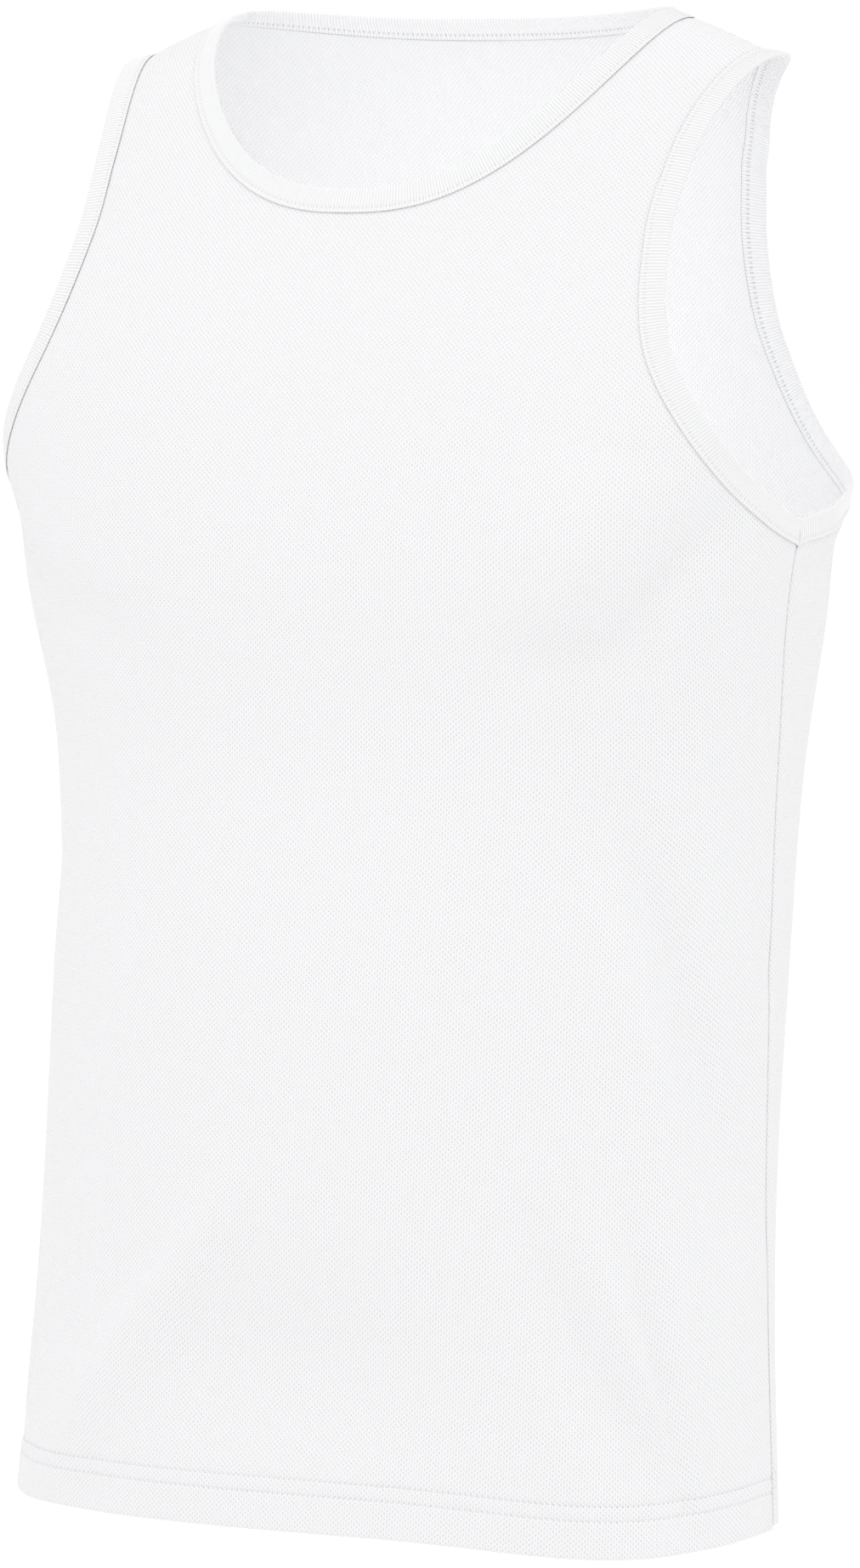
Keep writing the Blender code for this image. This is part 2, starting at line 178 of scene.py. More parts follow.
# Degrees that a binding stands out from the way the cloth runs, at even places from the
# centre line or the underarm to the shoulder
FLARES = {
    ("neck", "front"): (5.0, 5.0, 5.0, 3.0, 0.0),
    ("neck", "back"): (-4.0, -5.0, -6.0, -4.0, 0.0),
    ("armhole", "front"): (-10.0, -1.0, 8.0, 18.0, 14.0),
    ("armhole", "back"): (-10.0, -4.0, 16.0, 6.0, 14.0),
}
FLARE_REACH = 5.0 * MM
BAND_TOP = 0.55 * MM  # outer face of a binding over the panel's outer face
BAND_BOTTOM = -1.45 * MM
BAND_LAYER = 0.7 * MM
BAND_CURL = 0.3 * MM  # how far its edge inside the garment lifts off the cloth
BAND_STITCH = 2.6 * MM
STITCH_SHARES = {"hem": 0.82, "binding": 0.8}  # how much of its place a stitch fills
STITCH_WANDER = 0.12  # radians that a stitch may turn off its row
STITCH_BALL = {"Segments": 6, "Rings": 5, "Radius": 0.5}
STITCH_SEEDS = {"hem": 3, "binding": 7}
BAND_STITCH_OUTSIDE = 2.5 * MM  # stitch rows, from the binding's sewn edge
BAND_STITCH_INSIDE = 3.4 * MM
RIB_PITCH = 1.65 * MM
RIB_DEPTH = 0.13 * MM
RIB_LOOP = 1.1 * MM
RIB_STEPS = 4  # sections of a binding in one rib
JOIN_DIP = (0.45 * MM, 0.7 * MM)  # depth and half width of the seam that joins a ring

KNIT_CELL = (2.76 * MM, 2.47 * MM)  # two wales, and one pore's length
THREAD = 0.36 * MM

WELD = 0.02 * MM  # points closer than this become one
SLIVER = 0.01 * MM  # and shorter edges than this go
SEAM_EASE = 2.0 * MM  # reach over which directions along a seam are averaged
FAR = 1.0  # where no seam is near

# Grid of a half panel
COLUMNS = 120
EDGE_PLACES = np.array((0.0, 1.2, 2.0, 2.5, 3.1, 4.0, 5.4, 7.4)) * MM
HEM_PLACES = np.array(
    (0.0, 0.15, 0.45, 0.8, 1.2, 3.0, 6.0, 9.0, 12.0, 14.5, 16.2, 17.0, 17.5, 18.0, 18.5, 19.0,
     20.0, 22.0, 23.3, 24.0, 24.5, 25.0, 25.5, 26.0, 27.0, 29.0, 32.0)
) * MM
BODY_ROWS = 152
RIDGE_ROWS = (0.55, 0.8, 0.92, 0.97, 1.0)  # the last row of the cut, up to the shoulder seam
FLAT_STEPS = 24


# ---------------- form functions


def smooth(places, values, wanted):
    """The values at the wanted places, on a smooth curve through those given."""
    steps = np.diff(places)
    slopes = np.diff(values) / steps
    middle = (slopes[:-1] * steps[1:] + slopes[1:] * steps[:-1]) / (steps[:-1] + steps[1:])
    tangents = np.concatenate((slopes[:1], middle, slopes[-1:]))
    first = np.clip(np.searchsorted(places, wanted) - 1, 0, len(steps) - 1)
    part = (wanted - places[first]) / steps[first]
    rest = 1.0 - part
    return (
        (1.0 + 2.0 * part) * rest**2 * values[first]
        + part * rest**2 * steps[first] * tangents[first]
        + (3.0 - 2.0 * part) * part**2 * values[first + 1]
        - rest * part**2 * steps[first] * tangents[first + 1]
    )


def ease(share):
    share = np.clip(share, 0.0, 1.0)
    return share * share * (3.0 - 2.0 * share)


def column(name, height):
    """One column of SECTIONS at any height."""
    return smooth(HEIGHTS, np.array([getattr(row, name) for row in SECTIONS]), height)


def ridge_rise(face):
    return APEX[face] + (RIDGE - APEX[face]) * pi / 2.0


def rise_at(face, height):
    """Rise runs on evenly over the shoulder, where height alone would bunch up."""
    radius = RIDGE - APEX[face]
    turn = np.arcsin(np.clip((height - APEX[face]) / radius, 0.0, 1.0))
    return np.where(height < APEX[face], height, APEX[face] + radius * turn)


def roll(face, rise):
    """(height, share of the depth that is left) at a rise."""
    radius = RIDGE - APEX[face]
    turn = np.maximum((rise - APEX[face]) / radius, 0.0)
    height = np.where(turn > 0.0, APEX[face] + radius * np.sin(turn), rise)
    return height, np.cos(turn)


def section(face, height):
    """(half width, depth, squareness) of one face's half of a section."""
    names = ("half_width", face + "_depth", face + "_square")
    return tuple(column(name, height) for name in names)


def form_point(face, angle, rise):
    """A point on the figure form; angle runs from the centre line, + to the wearer's left."""
    height, left = roll(face, rise)
    half_width, depth, square = section(face, height)
    radius = (
        (np.abs(np.sin(angle)) / half_width) ** square
        + (np.abs(np.cos(angle)) / depth) ** square
    ) ** (-1.0 / square)
    side = -1.0 if face == "front" else 1.0
    pinch = column("back_pinch", height) * np.sin(angle) ** 4 if face == "back" else 0.0
    x = radius * np.sin(angle)
    y = column("seam_y", height) + side * radius * np.cos(angle) * left * (1.0 - pinch)
    fall = SHOULDER_FALL * (x / FALL_REACH) ** 2 * (1.0 - left**2)
    if face == "front":
        low = np.clip((SAG_START - height) / (SAG_START - HEM), 0.0, 1.0)
        off = (angle - radians(HEM_SAG.angle)) / radians(HEM_SAG.spread)
        fall = fall + HEM_SAG.depth * np.exp(-(off**2)) * ease(low)
    return np.stack((x + column("lean", height), y, height - fall), -1)


def form_normal(face, angle, rise, step=0.001):
    across = form_point(face, angle + step, rise) - form_point(face, angle - step, rise)
    up = form_point(face, angle, rise) - form_point(face, angle, rise - step)
    normal = np.cross(across, up) if face == "front" else np.cross(up, across)
    return unit(normal)


def unit(vectors):
    return vectors / np.linalg.norm(vectors, axis=-1, keepdims=True)


def angle_at(face, x, rise):
    """The angle at which the form is x from the centre line."""
    height, _ = roll(face, rise)
    half_width, depth, square = section(face, height)
    inner = depth * (1.0 - np.minimum(x / half_width, 1.0) ** square) ** (1.0 / square)
    return np.arctan2(x, inner)


def run_length(line):
    steps = np.linalg.norm(np.diff(line, axis=0), axis=1)
    return np.concatenate(((0.0,), np.cumsum(steps)))


def at_share(line, share):
    """Points at shares of a line's length."""
    along = run_length(line)
    return np.stack([np.interp(share * along[-1], along, values) for values in line.T], -1)


def neck_line(face):
    """From the centre line up to the shoulder, as (metres round, rise)."""
    drop, squareness = NECKS[face].drop, NECKS[face].squareness
    turn = np.linspace(0.0, pi / 2.0, CURVE_STEPS)
    low, high = rise_at(face, RIDGE - drop), ridge_rise(face)
    x = NECK_HALF * np.sin(turn) ** (2.0 / squareness)
    rise = high - (high - low) * np.cos(turn) ** (2.0 / squareness)
    return np.stack((angle_at(face, x, rise) * ANGLE_METRES, rise), -1)


def armhole_line(face, side):
    """From the underarm up to the shoulder on one side, as (metres round, rise)."""
    top = float(ridge_rise(face))
    rows = [(pi / 2.0, UNDERARM[face])]
    hang = HANG.get((face, side), (0.0,) * len(ARMHOLES[face]))
    for (angle, height), out in zip(ARMHOLES[face], hang):
        rows.append((radians(angle + out), float(rise_at(face, height))))
    rows.append((float(angle_at(face, SHOULDER_HALF, top)), top))
    rows.insert(0, (pi - rows[1][0], rows[1][1]))
    rows.append((rows[-2][0], 2.0 * top - rows[-2][1]))
    knots = np.array(rows) * (ANGLE_METRES, 1.0)
    gaps = np.linalg.norm(np.diff(knots, axis=0), axis=1)
    times = np.concatenate(((0.0,), np.cumsum(np.sqrt(gaps))))
    wanted = np.linspace(times[1], times[-2], CURVE_STEPS)
    line = np.stack([smooth(times, values, wanted) for values in knots.T], -1)
    depth, reach = UNDERARM_NOTCH
    line[:, 1] -= depth * np.exp(-run_length(line) / reach)
    return line


def moved_out(line, reach, side):
    """A seam line moved sideways: side +1 is to the left of its way, -1 to the right."""
    ahead = unit(np.gradient(line, axis=0))
    return line + np.stack((-ahead[:, 1], ahead[:, 0]), -1) * reach * side


def fold_line(face, fold):
    """A fold's ends as (metres round, height), measured from the centre line of one face."""
    angles = np.array((fold.from_angle, fold.to_angle))
    if face == "back":
        angles = np.copysign(180.0, angles.sum()) - angles
    return np.stack((np.radians(angles) * ANGLE_METRES, (fold.from_height, fold.to_height)), -1)


def fold_height(face, angle, rise, folds):
    """How far the folds lift the cloth off the form, all round the body."""
    height, _ = roll(face, rise)
    here = np.stack((angle * ANGLE_METRES, height), -1)
    lift = np.zeros(np.shape(angle))
    for fold in folds:
        start, end = fold_line(face, fold)
        run = end - start
        along = np.clip((here - start) @ run / (run @ run), 0.0, 1.0)
        off = np.linalg.norm(here - start - along[..., None] * run, axis=-1)
        fade = np.sin(pi * (FOLD_END + (1.0 - 2.0 * FOLD_END) * along))
        lift += fold.depth * fade * np.exp(-((off / fold.half_width) ** 2))
    return lift


def hem_height(angle, rise):
    """Grooves under the hem's stitch rows, the pucker round them and its rolled edge."""
    up = rise - HEM
    around = angle * ANGLE_METRES
    depth, half_width = HEM_GROOVE
    lift = sum(-depth * np.exp(-(((up - row) / half_width) ** 2)) for row in HEM_ROWS)
    middle = sum(HEM_ROWS) / len(HEM_ROWS)
    waves = sum(
        swell * np.sin(2.0 * pi * around / pitch + phase) for pitch, swell, phase in PUCKERS
    )
    lift = lift + waves * np.exp(-(((up - middle) / PUCKER_REACH) ** 2))
    curl = 1.0 - np.clip(up / HEM_ROLL, 0.0, 1.0)
    return lift - HEM_WALL / 2.0 * (1.0 - np.sqrt(1.0 - curl**2))


def cloth_point(face, angle, rise):
    """A point of a panel's outer face, with folds, creases and hem but without seams."""
    lift = fold_height(face, angle, rise, FOLDS + CREASES) + hem_height(angle, rise)
    return form_point(face, angle, rise) + form_normal(face, angle, rise) * lift[..., None]


def flat_place(face, angle, rise):
    """Where a point lies on the flat cloth: lengths over the form from the centre and hem."""
    steps = np.linspace(0.0, 1.0, FLAT_STEPS + 1)
    level = np.repeat(rise[..., None], FLAT_STEPS + 1, -1)
    plumb = np.repeat(angle[..., None], FLAT_STEPS + 1, -1)
    across = form_point(face, plumb * steps, level)
    up = form_point(face, plumb, HEM + (level - HEM) * steps)
    lengths = [np.linalg.norm(np.diff(line, axis=-2), axis=-1).sum(-1) for line in (across, up)]
    return np.stack((np.sign(angle) * lengths[0], lengths[1]), -1)


# ---------------- meshes


def new_object(name, data):
    thing = bpy.data.objects.new(name, data)
    bpy.context.scene.collection.objects.link(thing)
    return thing


def grid_faces(columns, rows):
    """Corner numbers of a grid's quads, facing along columns x rows."""
    number = np.arange(columns * rows).reshape(columns, rows)
    corners = (number[:-1, :-1], number[1:, :-1], number[1:, 1:], number[:-1, 1:])
    return np.stack(corners, -1).reshape(-1, 4)


def mesh_of(name, points, faces, flat=None):
    """A smooth mesh; flat gives each point's place in its map, or each corner's."""
    mesh = bpy.data.meshes.new(name)
    mesh.from_pydata(points.tolist(), [], faces.tolist())
    if flat is not None:
        corners = flat if len(flat) == faces.size else flat[faces.ravel()]
        mesh.uv_layers.new(name="cloth").data.foreach_set("uv", corners.ravel())
    mesh.shade_smooth()
    return mesh


def weld(mesh):
    sheet = bmesh.new()
    sheet.from_mesh(mesh)
    bmesh.ops.remove_doubles(sheet, verts=sheet.verts, dist=WELD)
    bmesh.ops.dissolve_degenerate(sheet, edges=sheet.edges, dist=SLIVER)
    sheet.to_mesh(mesh)
    sheet.free()


def applied(piece):
    """The piece with its modifiers made real."""
    view = bpy.context.evaluated_depsgraph_get()
    mesh = bpy.data.meshes.new_from_object(piece.evaluated_get(view))
    piece.modifiers.clear()
    old = piece.data
    piece.data = mesh
    bpy.data.meshes.remove(old)
    mesh.name = piece.name
    return piece


# ---------------- node trees


def feed(tree, node, inputs):
    """Inputs by name or number: a link from another node's socket, or a plain value."""
    for label, value in inputs.items():
        if isinstance(value, bpy.types.NodeSocket):
            tree.links.new(value, node.inputs[label])
        else:
            node.inputs[label].default_value = value


def add_node(tree, kind, inputs=None, **settings):
    node = tree.nodes.new(kind)
    for label, value in settings.items():
        setattr(node, label, value)
    feed(tree, node, inputs or {})
    return node


def arithmetic(tree, operation, *values):
    node = add_node(tree, "ShaderNodeMath", dict(enumerate(values)), operation=operation)
    return node.outputs[0]


def times(tree, value, other):
    return arithmetic(tree, "MULTIPLY", value, other)


def repeat_tree(name, sizes):
    """An empty tree of geometry nodes with named inputs; returns it and what it is given."""
    tree = bpy.data.node_groups.new(name, "GeometryNodeTree")
    tree.interface.new_socket("Geometry", in_out="INPUT", socket_type="NodeSocketGeometry")
    for label, kind in sizes.items():
        tree.interface.new_socket(label, in_out="INPUT", socket_type="NodeSocket" + kind)
    tree.interface.new_socket("Geometry", in_out="OUTPUT", socket_type="NodeSocketGeometry")
    return tree, tree.nodes.new("NodeGroupInput").outputs


def end_tree(tree, geometry, finish):
    """Every tree ends with its instances realized and its finish set."""
    real = add_node(tree, "GeometryNodeRealizeInstances", {"Geometry": geometry}).outputs[0]
    inputs = {"Geometry": real, "Material": finish}
    painted = add_node(tree, "GeometryNodeSetMaterial", inputs).outputs[0]
    add_node(tree, "NodeGroupOutput", {"Geometry": painted})
    return tree


def run_tree(piece, tree, **values):
    """Runs a tree on a piece with its inputs set by their sockets' identifiers."""
    modifier = piece.modifiers.new(tree.name, "NODES")
    modifier.node_group = tree
    for item in tree.interface.items_tree:
        if item.in_out == "INPUT" and item.name in values:
            modifier[item.identifier] = values[item.name]
    return applied(piece)


def stored(tree, name, kind="FLOAT"):
    """What each point of a piece carries under a name."""
    node = add_node(tree, "GeometryNodeInputNamedAttribute", {"Name": name}, data_type=kind)
    return node.outputs["Attribute"]


def rib_tree():
    """Raises ribs across a strip, from each point's place along it and its share of rib."""
    sizes = {"Pitch": "Float", "Depth": "Float", "Finish": "Material"}
    tree, given = repeat_tree("raise ribs", sizes)
    turns = arithmetic(tree, "DIVIDE", stored(tree, "along"), given["Pitch"])
    swell = arithmetic(tree, "COSINE", times(tree, turns, 2.0 * pi))
    lift = times(tree, swell, given["Depth"])
    lift = times(tree, lift, stored(tree, "ribbed"))
    normal = add_node(tree, "GeometryNodeInputNormal").outputs[0]
    offset = add_node(tree, "ShaderNodeVectorMath", {0: normal, "Scale": lift}, operation="SCALE")
    inputs = {"Geometry": given["Geometry"], "Offset": offset.outputs[0]}
    moved = add_node(tree, "GeometryNodeSetPosition", inputs).outputs[0]
    return end_tree(tree, moved, given["Finish"])


def stitch_tree():
    """Lays one stitch at each point, along its "ahead" and with its top to its "normal"."""
    sizes = dict.fromkeys(("Length", "Thread", "Wander"), "Float")
    tree, given = repeat_tree("sew stitches", {**sizes, "Seed": "Int", "Finish": "Material"})
    ball = add_node(tree, "GeometryNodeMeshUVSphere", STITCH_BALL).outputs["Mesh"]
    sides = {"X": given["Length"], "Y": given["Thread"], "Z": given["Thread"]}
    size = add_node(tree, "ShaderNodeCombineXYZ", sides).outputs[0]
    inputs = {"Geometry": ball, "Scale": size}
    stitch = add_node(tree, "GeometryNodeTransform", inputs).outputs[0]
    stitch = add_node(tree, "GeometryNodeSetShadeSmooth", {"Geometry": stitch}).outputs[0]
    turn = add_node(
        tree,
        "FunctionNodeAxesToRotation",
        {0: stored(tree, "ahead", "FLOAT_VECTOR"), 1: stored(tree, "normal", "FLOAT_VECTOR")},
        primary_axis="X",
        secondary_axis="Z",
    ).outputs[0]
    most = given["Wander"]
    inputs = {2: times(tree, most, -1.0), 3: most, "Seed": given["Seed"]}
    wander = add_node(tree, "FunctionNodeRandomValue", inputs, data_type="FLOAT").outputs[1]
    inputs = {"Axis": (0.0, 0.0, 1.0), "Angle": wander}
    yaw = add_node(tree, "FunctionNodeAxisAngleToRotation", inputs).outputs[0]
    inputs = {0: turn, 1: yaw}
    both = add_node(tree, "FunctionNodeRotateRotation", inputs, rotation_space="LOCAL").outputs[0]
    inputs = {"Points": given["Geometry"], "Instance": stitch, "Rotation": both}
    sewn = add_node(tree, "GeometryNodeInstanceOnPoints", inputs).outputs[0]
    return end_tree(tree, sewn, given["Finish"])


# ---------------- finishes

# A light tone and a darker one: painted shade on the knit and the rib, blotches on the thread and
# the floor
KNIT_TONES = ((0.875, 0.875, 0.885), (0.70, 0.70, 0.72))
RIB_TONES = ((0.885, 0.885, 0.89), (0.36, 0.36, 0.38))
THREAD_TONES = ((0.90, 0.90, 0.91), (0.78, 0.78, 0.80))
FLOOR_TONES = ((0.97, 0.97, 0.97), (0.96, 0.96, 0.96))
# Shares of grooves, pores, needle holes, loops and fuzz in how deep a knit is and in its painted
# shade
KNIT_PAINTED_SHADE = {"groove": 0.22, "pore": 0.5}
KNIT_DEPTHS = {"groove": 0.35, "fuzz": 0.5}
RIB_PAINTED_SHADE = {"groove": 0.2, "hole": 0.9}
RIB_DEPTHS = {"loop": 0.35, "fuzz": 0.5}
# Blotches in a metre
KNIT_PATCHES = 130.0
KNIT_FUZZ = 1600.0
RIB_FUZZ = 1500.0
THREAD_TWIST = 2600.0
FLOOR_PATCHES = 0.8


def new_finish(name):
    material = bpy.data.materials.new(name)
    material.use_nodes = True
    return material, material.node_tree, material.node_tree.nodes["Principled BSDF"]


def map_place(tree):
    """The place on the piece's own map, in metres, and its two lengths."""
    place = add_node(tree, "ShaderNodeUVMap", uv_map="cloth").outputs[0]
    split = add_node(tree, "ShaderNodeSeparateXYZ", {0: place})
    return place, split.outputs[0], split.outputs[1]


def wave(tree, value, pitch, turns=1.0):
    angle = times(tree, value, 2.0 * pi * turns / pitch)
    return arithmetic(tree, "COSINE", angle)


def ranged(tree, value, low, high, to_low=0.0, to_high=1.0):
    """A value eased from one range into another."""
    inputs = {"Value": value, "From Min": low, "From Max": high}
    inputs |= {"To Min": to_low, "To Max": to_high}
    node = add_node(tree, "ShaderNodeMapRange", inputs, interpolation_type="SMOOTHSTEP")
    return node.outputs["Result"]


def blotches(tree, place, scale, detail=2.0):
    inputs = {"Vector": place, "Scale": scale, "Detail": detail}
    return add_node(tree, "ShaderNodeTexNoise", inputs).outputs["Fac"]


def tint(tree, shade, tones):
    """The lighter tone where the shade is 0, the darker one where it is 1."""
    light, dark = tones
    inputs = {"Factor": shade, "A": (*light, 1.0), "B": (*dark, 1.0)}
    return add_node(tree, "ShaderNodeMix", inputs, data_type="RGBA").outputs["Result"]


def bump(tree, height, distance, strength):
    inputs = {"Height": height, "Distance": distance, "Strength": strength}
    return add_node(tree, "ShaderNodeBump", inputs).outputs[0]


def knit_finish():
    """Bird-eye knit: pores in staggered rows, grooves between wales, shade painted into both and
    hem holes.
    """
    material, tree, shader = new_finish("pale bird-eye knit")
    place, across, up = map_place(tree)
    wales, pores = KNIT_CELL
    stagger = times(tree, wave(tree, across, wales), wave(tree, up, pores))
    pore = ranged(tree, stagger, 0.25, 1.0)
    groove = ranged(tree, wave(tree, across, wales, 2.0), -0.6, 1.0)
    uneven = ranged(tree, blotches(tree, place, KNIT_PATCHES), 0.3, 0.7, 0.8, 1.0)
    fuzz = blotches(tree, place, KNIT_FUZZ)
    sunk = times(tree, pore, uneven)
    depth = arithmetic(tree, "MULTIPLY_ADD", groove, KNIT_DEPTHS["groove"], sunk)
    height = times(tree, depth, -1.0)
    height = arithmetic(tree, "MULTIPLY_ADD", fuzz, KNIT_DEPTHS["fuzz"], height)
    # painted shade in the pores and in the grooves between wales
    shade = times(tree, sunk, KNIT_PAINTED_SHADE["pore"])
    shade = arithmetic(tree, "MULTIPLY_ADD", groove, KNIT_PAINTED_SHADE["groove"], shade)
    # painted shade in the needle holes of the hem's stitch rows
    holes = ranged(tree, wave(tree, across, HEM_STITCH), 0.0, 0.9)
    for row in HEM_ROWS:
        off = arithmetic(tree, "ABSOLUTE", arithmetic(tree, "SUBTRACT", up, row))
        near = times(tree, ranged(tree, off, *HEM_HOLE_REACH), holes)
        shade = arithmetic(tree, "MULTIPLY_ADD", near, HEM_HOLE_SHADE, shade)
    looks = {
        "Base Color": tint(tree, shade, KNIT_TONES),
        "Normal": bump(tree, height, distance=0.22 * MM, strength=0.8),
        "Roughness": 0.85,
        "Specular IOR Level": 0.25,
        "Sheen Weight": 0.45,
        "Sheen Roughness": 0.3,
    }
    feed(tree, shader, looks)
    return material


def rib_finish():
    """Fine rib, each rib a chain of loops, with painted shade in its grooves and needle holes and
    a painted shadow line along its edges.
    """
    material, tree, shader = new_finish("pale rib knit")
    place, along, across = map_place(tree)
    groove = ranged(tree, wave(tree, along, RIB_PITCH), 0.2, -1.0)
    loops = ranged(tree, wave(tree, across, RIB_LOOP), -1.0, 1.0)
    fuzz = blotches(tree, place, RIB_FUZZ)
    height = times(tree, fuzz, RIB_DEPTHS["fuzz"])
    height = arithmetic(tree, "MULTIPLY_ADD", loops, RIB_DEPTHS["loop"], height)
    height = arithmetic(tree, "SUBTRACT", height, groove)
    # painted shade: in the needle holes, along the binding's edges and in the grooves between
    # ribs
    holes_and_painted_shade = add_node(tree, "ShaderNodeAttribute", attribute_name="holes_and_painted_shade").outputs["Fac"]
    shade = times(tree, holes_and_painted_shade, RIB_PAINTED_SHADE["hole"])
    shade = arithmetic(tree, "MULTIPLY_ADD", groove, RIB_PAINTED_SHADE["groove"], shade)
    looks = {
        "Base Color": tint(tree, shade, RIB_TONES),
        "Normal": bump(tree, height, distance=0.14 * MM, strength=0.7),
        "Roughness": 0.8,
        "Specular IOR Level": 0.3,
        "Sheen Weight": 0.12,
        "Sheen Roughness": 0.4,
    }
    feed(tree, shader, looks)
    return material


def thread_finish():
    """White spun thread, with its twist."""
    material, tree, shader = new_finish("white thread")
    place = add_node(tree, "ShaderNodeTexCoord").outputs["Object"]
    twist = blotches(tree, place, THREAD_TWIST, 1.0)
    looks = {
        "Base Color": tint(tree, ranged(tree, twist, 0.35, 0.75), THREAD_TONES),
        "Normal": bump(tree, twist, distance=0.06 * MM, strength=0.6),
        "Roughness": 0.55,
    }
    feed(tree, shader, looks)
    return material


def floor_finish():
    material, tree, shader = new_finish("pale floor")
    place = add_node(tree, "ShaderNodeTexCoord").outputs["Object"]
    color = tint(tree, blotches(tree, place, FLOOR_PATCHES), FLOOR_TONES)
    feed(tree, shader, {"Base Color": color, "Roughness": 0.9, "Specular IOR Level": 0.0})
    return material


# ---------------- panels


def row_places():
    """Rows of the cut: close together in the hem and at the shoulder seam."""
    side_row = (UNDERARM["back"] - HEM) / SIDE_ROWS
    hem = HEM_PLACES / side_row
    last = SIDE_ROWS + ARMHOLE_ROWS
    body = np.linspace(hem[-1], last - 1.0, BODY_ROWS + 1)[1:]
    return np.concatenate((hem, body, last - 1.0 + np.array(RIDGE_ROWS)))


def tucked_lines(face, side):
    """A panel's edges at the neck and one armhole, a tuck past their seam lines."""
    neck = moved_out(neck_line(face), TUCK, 1.0)
    return neck, moved_out(armhole_line(face, side), TUCK, -1.0)


def row_ends(face, side, rows):
    """The inner and outer (metres round, rise) of each row."""
    neck, armhole = tucked_lines(face, side)
    armhole[:, 0] = np.minimum(armhole[:, 0], pi / 2.0 * ANGLE_METRES)
    centre_rows = SIDE_ROWS + NECKS[face].chest_rows
    last = SIDE_ROWS + ARMHOLE_ROWS
    inner = at_share(neck, np.clip((rows - centre_rows) / (last - centre_rows), 0.0, 1.0))
    outer = at_share(armhole, np.clip((rows - SIDE_ROWS) / ARMHOLE_ROWS, 0.0, 1.0))
    low, high = rows < centre_rows, rows < SIDE_ROWS
    inner[low, 0] = 0.0
    inner[low, 1] = HEM + (neck[0, 1] - HEM) * rows[low] / centre_rows
    outer[high, 0] = pi / 2.0 * ANGLE_METRES
    outer[high, 1] = HEM + (armhole[0, 1] - HEM) * rows[high] / SIDE_ROWS
    return inner, outer


def half_plan(face, side):
    """(angle, rise) at each column and row of a half panel, on either side of the body."""
    rows = row_places()
    inner, outer = row_ends(face, side, rows)
    width = np.linalg.norm(outer - inner, axis=1)
    edge = EDGE_PLACES[:, None] / width
    between = np.linspace(0.0, 1.0, COLUMNS - 2 * len(EDGE_PLACES) + 3)[1:-1, None]
    middle = edge[-1] + (1.0 - 2.0 * edge[-1]) * between
    share = np.concatenate((edge, middle, 1.0 - edge[::-1]))
    plan = inner * (1.0 - share[..., None]) + outer * share[..., None]
    from_underarm = (rows - SIDE_ROWS) / SAG_ROWS
    plan[..., 1] -= ROW_SAG * share**3 * (1.0 - share) * np.exp(-(from_underarm**2))
    return plan / (ANGLE_METRES, 1.0)


def nearest(points, line):
    """Each point's distance to a line of points."""
    flat = points.reshape(-1, 3)
    best = np.full(len(flat), np.inf)
    for spot in line:
        best = np.minimum(best, ((flat - spot) ** 2).sum(1))
    return np.sqrt(best).reshape(points.shape[:-1])


def seam_dip(face, side, angle, rise):
    """How far the cloth sinks at its bound edges and at the side and shoulder seams."""
    points = form_point(face, angle, rise)
    dip = np.zeros(points.shape[:-1])
    for line in tucked_lines(face, side):
        edge = form_point(face, line[:, 0] / ANGLE_METRES, line[:, 1])
        away = nearest(points, edge)
        dip = np.maximum(dip, EDGE_DIP * ease((TUCK + EDGE_FADE - away) / EDGE_FADE))
    to_side = (pi / 2.0 - np.abs(angle)) * ANGLE_METRES
    to_side = np.where(rise < UNDERARM[face] + TUCK, to_side, FAR)
    depth = column(face + "_depth", RIDGE)
    to_ridge = (ridge_rise(face) - rise) * depth / (RIDGE - APEX[face])
    for away in (to_side, to_ridge):
        dip = np.maximum(dip, SEAM_DIP * np.exp(-((away / SEAM_REACH) ** 2)))
    return dip


def outer_face(face):
    """A panel's outer face: two halves joined down the centre line."""
    halves, flats = [], []
    for side in (-1.0, 1.0):
        plan = half_plan(face, side)
        angle, rise = plan[..., 0] * side, plan[..., 1]
        points = cloth_point(face, angle, rise)
        dip = seam_dip(face, side, np.abs(angle), rise)
        points -= form_normal(face, angle, rise) * dip[..., None]
        outwards = -1 if side < 0.0 else 1
        halves.append(points[::outwards])
        flats.append(flat_place(face, angle, rise)[::outwards])
    columns, rows = plan.shape[:2]
    faces = grid_faces(columns, rows)
    if face == "back":
        faces = faces[:, ::-1]
    faces = np.concatenate((faces, faces + columns * rows))
    points = np.concatenate(halves).reshape(-1, 3)
    mesh = mesh_of(face + "_cloth", points, faces, np.concatenate(flats).reshape(-1, 2))
    weld(mesh)
    return mesh


def panel(face):
    """One shell of knit, with a thicker wall in the hem."""
    piece = new_object(face + "_cloth", outer_face(face))
    hem = piece.vertex_groups.new(name="hem")
    start, reach = HEM_FADE
    single = CLOTH / HEM_WALL
    for vert in piece.data.vertices:
        doubled = 1.0 - float(ease((vert.co.z - HEM - HEM_DEPTH - start) / reach))
        hem.add((vert.index,), single + (1.0 - single) * doubled, "REPLACE")
    wall = piece.modifiers.new("cloth wall", "SOLIDIFY")
    wall.thickness = HEM_WALL
    wall.offset = -1.0
    wall.vertex_group = "hem"
    applied(piece)
    piece.vertex_groups.clear()
    piece.data.materials.clear()
    piece.data.materials.append(KNIT)
    return piece


# ---------------- bindings


def seam_run(opening, face, line, side):
    """(points, normals, flares) of the cloth along a seam line on one side of the body."""
    angle, rise = line[:, 0] / ANGLE_METRES * side, line[:, 1]
    flares = np.array(FLARES[opening, face])
    share = run_length(line) / run_length(line)[-1]
    degrees = smooth(np.arange(len(flares)), flares, share * (len(flares) - 1))
    turns = np.radians(degrees)[:, None]
    return cloth_point(face, angle, rise), form_normal(face, angle, rise), turns


def backwards(run):
    return tuple(part[::-1] for part in run)


def neck_runs():
    """From the seam on the wearer's left shoulder, by the back."""
    lines = {face: neck_line(face) for face in NECKS}
    return (
        backwards(seam_run("neck", "back", lines["back"], 1.0)),
        seam_run("neck", "back", lines["back"], -1.0),
        backwards(seam_run("neck", "front", lines["front"], -1.0)),
        seam_run("neck", "front", lines["front"], 1.0),
    )


